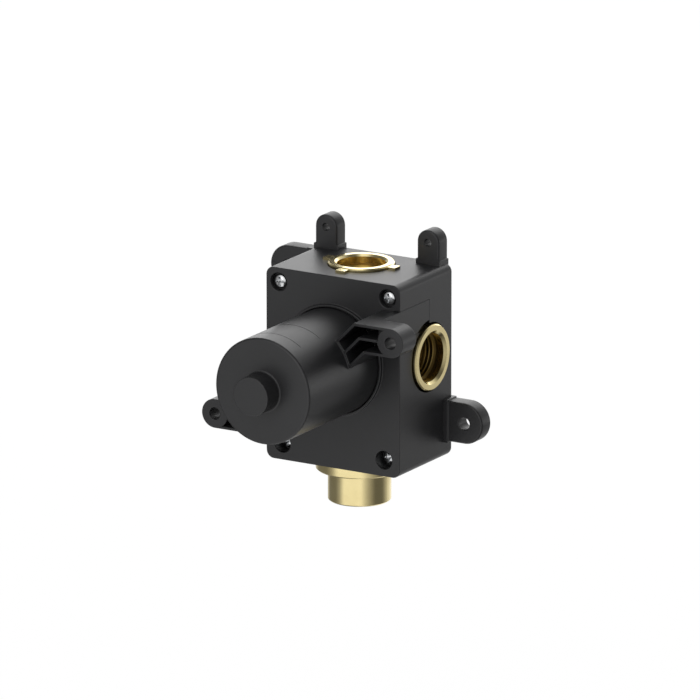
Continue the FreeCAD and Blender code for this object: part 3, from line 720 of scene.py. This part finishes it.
def recess_turns(radius, half_w, soft):
    """Angles of a screw head's grid, one row for each radius, with columns along the walls of a cross recess.

    In each eighth of a turn the first columns stay w away from an arm's middle line, angle = asin(w / r), up to
    a limit of their own near the middle of the head. The others share what is left of the eighth evenly.
    """
    away = np.array((0, half_w / 2, half_w - soft, half_w - soft / 2, half_w, half_w + soft / 2, half_w + soft))
    limit = TURN / 8 * np.array(RECESS_LIMITS)
    wall = np.minimum(np.arcsin(np.minimum(away / radius, 1)), limit)
    outer = wall[:, -1:]
    rest = np.linspace(0, 1, len(away))[1:]
    eighth = np.hstack((wall, outer + (TURN / 8 - outer) * rest))
    quarter = np.hstack((eighth, TURN / 4 - eighth[:, -2:0:-1]))
    return np.hstack([quarter + TURN / 4 * side for side in range(4)])


def screw_surface(points, settings):
    """One pan-head screw as a single round surface, worked out from the corner points of its plain solid.

    The head is a superellipse, height = crown (1 - (r/R)^n)^(1/n), sunk by a cross recess that is deepest
    at the middle. The shank's radius rises and falls along the helix height/pitch - angle/turn.
    """
    low, high = points.min(axis=0), points.max(axis=0)
    middle = (low + high) / 2
    head_r = (high[0] - low[0]) / 2
    total = high[1] - low[1]
    reach = np.hypot(points[:, 0] - middle[0], points[:, 2] - middle[2])
    seat = points[reach > head_r * ON_RIM, 1].max() - low[1]
    half_l, half_w = settings.recess_length / 2, settings.recess_width / 2
    soft = RECESS_SLOPE * half_w
    radius = head_r * np.sin(np.linspace(FIRST_ROW, TURN / 4, HEAD_ROWS))[:, None]
    turn = recess_turns(radius, half_w, soft)
    dome = settings.crown * np.maximum(1 - (radius / head_r) ** settings.bulge, 0) ** (1 / settings.bulge)
    beside = np.minimum(np.abs(radius * np.cos(turn)), np.abs(radius * np.sin(turn)))
    cross = 1 - ramp_up(radius, half_l - soft, half_l + soft)
    cross = cross * (1 - ramp_up(beside, half_w - soft, half_w + soft))
    head = dome - settings.crown - settings.recess_depth * (1 - RECESS_TAPER * radius / half_l) * cross
    angle = turn[-1:]
    rows = [(turn, radius + 0 * turn, head)]
    rim_radius = np.array((1.0, SEAT_SHARE))[:, None] * head_r
    rim_height = np.array((-seat + RIM_HEIGHT, -seat))[:, None]
    rows.append((angle + 0 * rim_radius, rim_radius + 0 * angle, rim_height + 0 * angle))
    shank_height = np.linspace(-seat, -total, SHANK_ROWS)[:, None] + 0 * angle
    phase = shank_height / settings.pitch - angle / TURN
    ridge = np.abs(2 * (phase - np.floor(phase)) - 1)
    fade = ramp_up(-shank_height, seat, seat + 2 * settings.pitch)
    fade = fade * ramp_up(shank_height, -total, -total + POINT_FADE)
    rows.append((angle + 0 * phase, settings.shank_r - settings.thread * (1 - ridge * fade), shank_height))
    turns, radii, heights = (np.concatenate(parts) for parts in zip(*rows))
    made = round_points((middle[0], low[1], middle[2]), CARTRIDGE_AXIS, turns, radii, heights)
    columns = angle.size
    last = len(made) - columns
    caps = [range(columns), range(last, last + columns)]
    return made, grid_faces(len(turns), columns), caps


class VALVE_OT_cover_screws(Operator):
    """Make the cover's pan-head screws with their cross recesses and threads"""
    bl_idname = "valve.cover_screws"
    bl_label = "Cover screws"

    def execute(self, context):
        settings = context.scene.valve_screw
        steel = plated_steel(context.scene.valve_metal)
        points = node_points("cover_screws")
        surfaces = []
        for side in (-1, 1):
            for level in (-1, 1):
                quarter = points[(points[:, 0] * side > 0) & (points[:, 2] * level > 0)]
                surfaces.append(screw_surface(quarter, settings))
        add_piece("cover_screws_threaded", surfaces, steel, "box", ["cover_screws"])
        dress(steel, "spindle_circlip")
        return {"FINISHED"}


def ring_surface(points, centre, axis):
    """Torus that fills the place of a plain ring: major radius and thickness come from the ring's corner points."""
    offset = points - np.asarray(centre)
    along = np.asarray(axis, float)
    height = offset @ along
    radius = np.linalg.norm(offset - height[:, None] * along, axis=1)
    thickness = (radius.max() - radius.min()) / 2
    major = radius.max() - thickness
    turn = np.linspace(0, TURN, RING_STEPS, endpoint=False)[:, None]
    bend = np.linspace(0, TURN, RING_SIDES, endpoint=False)[None, :]
    middle = (height.max() + height.min()) / 2
    made = round_points(centre, axis, turn, major + thickness * np.cos(bend), middle + thickness * np.sin(bend))
    return made, grid_faces(turn.size, bend.size, close_rows=True), []


class VALVE_OT_sealing_rings(Operator):
    """Make the round rubber rings of the ports, the cartridge and the spindle"""
    bl_idname = "valve.sealing_rings"
    bl_label = "Sealing rings"

    def execute(self, context):
        rubber = seal_rubber()
        mounts = [MOUNTS[port + "_thread"] for port in PORTS]
        body_centre = np.array((0.0, mounts[0]["pos_m"][1], 0.0))
        axes = np.array([mount["axis"] for mount in mounts], float)
        points = node_points("port_o_rings")
        nearest = np.argmax((points - body_centre) @ axes.T, axis=1)
        surfaces = [
            ring_surface(points[nearest == i], mount["pos_m"], mount["axis"]) for i, mount in enumerate(mounts)]
        add_piece("port_sealing_rings", surfaces, rubber, "box", ["port_o_rings"])
        ring = ring_surface(node_points("cartridge_o_ring"), (0, 0, 0), CARTRIDGE_AXIS)
        add_piece("cartridge_sealing_ring", [ring], rubber, "box", ["cartridge_o_ring"])
        points = node_points("spindle_o_rings")
        middle = (points[:, 1].min() + points[:, 1].max()) / 2
        halves = [points[points[:, 1] < middle], points[points[:, 1] >= middle]]
        surfaces = [ring_surface(half, (0, 0, 0), CARTRIDGE_AXIS) for half in halves]
        add_piece("spindle_sealing_rings", surfaces, rubber, "spindle", ["spindle_o_rings"])
        dress(rubber, "base_seals")
        return {"FINISHED"}


class VALVE_OT_cartridge_finish(Operator):
    """Give the brass body, the spindle and the cartridge's inner pieces their finishes"""
    bl_idname = "valve.cartridge_finish"
    bl_label = "Cartridge finish"

    def execute(self, context):
        metal = context.scene.valve_metal
        dress(cast_brass(metal), "valve_body")
        spindle_tip = -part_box("spindle")[0][1]
        # The spindle's screw hole gets the same painted shade as the bores
        spindle_brass = turned_brass(
            "spindle_brass", (0, 0, 0), CARTRIDGE_AXIS, SPINDLE_HOLE_R, metal.bore_shade, spindle_tip, metal)
        dress(spindle_brass, "spindle", "bonnet_nut")
        plastic = white_plastic(context.scene.valve_plastic)
        dress(plastic, "cartridge_base", "cartridge_housing", "disc_driver", "thrust_washer")
        dress(lapped_ceramic(), "fixed_disc", "moving_disc")
        return {"FINISHED"}


def aimed_matrix(place, target):
    """Place and turn that make a lamp or camera at a place look at a target."""
    place, target = Vector(place), Vector(target)
    return Matrix.Translation(place) @ (target - place).to_track_quat("-Z", "Y").to_matrix().to_4x4()


def view_direction(azimuth, elevation):
    """Unit vector from the part towards a viewer: azimuth 0 is the front, and it grows to the right."""
    level = math.cos(elevation)
    return Vector((math.sin(azimuth) * level, -math.cos(azimuth) * level, math.sin(elevation)))


def add_lamp(name, azimuth, elevation, distance, size, power, target):
    """Square soft lamp that shines at a target from a direction given in degrees."""
    lamp = bpy.data.lights.new(name, "AREA")
    lamp.shape = "SQUARE"
    lamp.size = size
    lamp.energy = power
    holder = bpy.data.objects.new(name, lamp)
    bpy.context.scene.collection.objects.link(holder)
    direction = view_direction(math.radians(azimuth), math.radians(elevation))
    holder.matrix_world = aimed_matrix(Vector(target) + direction * distance, target)


def surroundings(recipe, direction):
    """Colour of the studio in a direction: white in the picture, and by STUDIO_LEVELS in what metal mirrors."""
    turn = recipe.node("ShaderNodeMath", {"operation": "ARCTAN2"}, {
        0: recipe.part(direction, "X"), 1: recipe.part(direction, "Y") * -1.0})
    stops = [(degrees / 360 + 0.5, level) for degrees, level in STUDIO_LEVELS]
    mirrored = recipe.ramp(turn * (1 / TURN) + 0.5, *stops)
    camera = recipe.node("ShaderNodeLightPath", output="Is Camera Ray")
    return recipe.blend(camera, mirrored, (1, 1, 1))


def white_floor(size, level):
    """Pale floor: shown nearly white, with a little of its true shade left so that it keeps a shadow."""
    material, recipe = new_material("pale_floor")

    def ray(kind):
        return recipe.node("ShaderNodeLightPath", output=kind)

    shown = recipe.node("ShaderNodeClamp", {}, {
        "Value": ray("Is Camera Ray") + ray("Is Glossy Ray") + ray("Is Transmission Ray")})
    lit = recipe.node("ShaderNodeBsdfDiffuse", {}, {"Color": FLOOR_GREY})
    colour = surroundings(recipe, recipe.place())
    glow = recipe.node("ShaderNodeEmission", {}, {"Color": colour, "Strength": FLOOR_GLOW})
    recipe.surface(recipe.node("ShaderNodeMixShader", {}, {0: shown * FLOOR_SHOWN, 1: lit, 2: glow}))
    mesh = bpy.data.meshes.new("floor")
    half = size / 2
    corners = [(-half, -half, level), (half, -half, level), (half, half, level), (-half, half, level)]
    mesh.from_pydata(corners, [], [(0, 1, 2, 3)])
    mesh.materials.append(material)
    floor = bpy.data.objects.new("floor", mesh)
    bpy.context.scene.collection.objects.link(floor)


def studio_world():
    """White background and soft light from the same surroundings."""
    world = bpy.data.worlds.new("studio")
    bpy.context.scene.world = world
    recipe = Recipe(world)
    direction = recipe.node("ShaderNodeTexCoord", output="Generated")
    colour = surroundings(recipe, direction)
    shader = recipe.node("ShaderNodeBackground", {}, {"Color": colour, "Strength": 1.0})
    recipe.node("ShaderNodeOutputWorld", {}, {"Surface": shader})


class VALVE_OT_studio(Operator):
    """Set the white stage, the lamps and the camera"""
    bl_idname = "valve.studio"
    bl_label = "Studio"

    def execute(self, context):
        scene = context.scene
        settings = scene.valve_studio
        aim = Vector(settings.aim)
        white_floor(FLOOR_SIZE, CAD_BOX[0][2] - settings.floor_drop)
        studio_world()
        for name, power, azimuth, elevation, distance, size in LAMPS:
            add_lamp(name, azimuth, elevation, distance, size, getattr(settings, power), aim)
        lens = bpy.data.cameras.new("camera")
        lens.lens = lens.sensor_width * settings.distance / settings.view_width
        camera = bpy.data.objects.new("camera", lens)
        scene.collection.objects.link(camera)
        place = aim + view_direction(settings.azimuth, settings.elevation) * settings.distance
        camera.matrix_world = aimed_matrix(place, aim)
        scene.camera = camera
        scene.view_settings.view_transform = "Standard"
        return {"FINISHED"}


OPERATORS = (
    VALVE_OT_moulded_shells,
    VALVE_OT_port_threads,
    VALVE_OT_cover_screws,
    VALVE_OT_sealing_rings,
    VALVE_OT_cartridge_finish,
    VALVE_OT_studio,
)
SETTINGS = {
    "valve_plastic": PlasticSettings,
    "valve_metal": MetalSettings,
    "valve_thread": ThreadSettings,
    "valve_screw": ScrewSettings,
    "valve_studio": StudioSettings,
}


class VALVE_PT_sidebar(Panel):
    """Settings and operators of the valve"""
    bl_idname = "VALVE_PT_sidebar"
    bl_label = "Shower diverter valve"
    bl_space_type = "VIEW_3D"
    bl_region_type = "UI"
    bl_category = "Valve"

    def draw(self, context):
        for name in SETTINGS:
            group = getattr(context.scene, name)
            box = self.layout.box()
            for key in group.bl_rna.properties.keys():
                if key not in ("name", "rna_type"):
                    box.prop(group, key)
        for operator in OPERATORS:
            self.layout.operator(operator.bl_idname)


def register():
    """Add the settings, the operators and the panel to Blender."""
    for kind in (*SETTINGS.values(), *OPERATORS, VALVE_PT_sidebar):
        bpy.utils.register_class(kind)
    for name, kind in SETTINGS.items():
        setattr(bpy.types.Scene, name, PointerProperty(type=kind))


def unregister():
    """Take the settings, the operators and the panel out of Blender."""
    for name in SETTINGS:
        delattr(bpy.types.Scene, name)
    for kind in (VALVE_PT_sidebar, *reversed(OPERATORS), *reversed(SETTINGS.values())):
        bpy.utils.unregister_class(kind)


def main():
    """Build the valve's finish and its stage."""
    register()
    for operator in OPERATORS:
        group, name = operator.bl_idname.split(".")
        getattr(getattr(bpy.ops, group), name)()


if __name__ == "__main__":
    main()
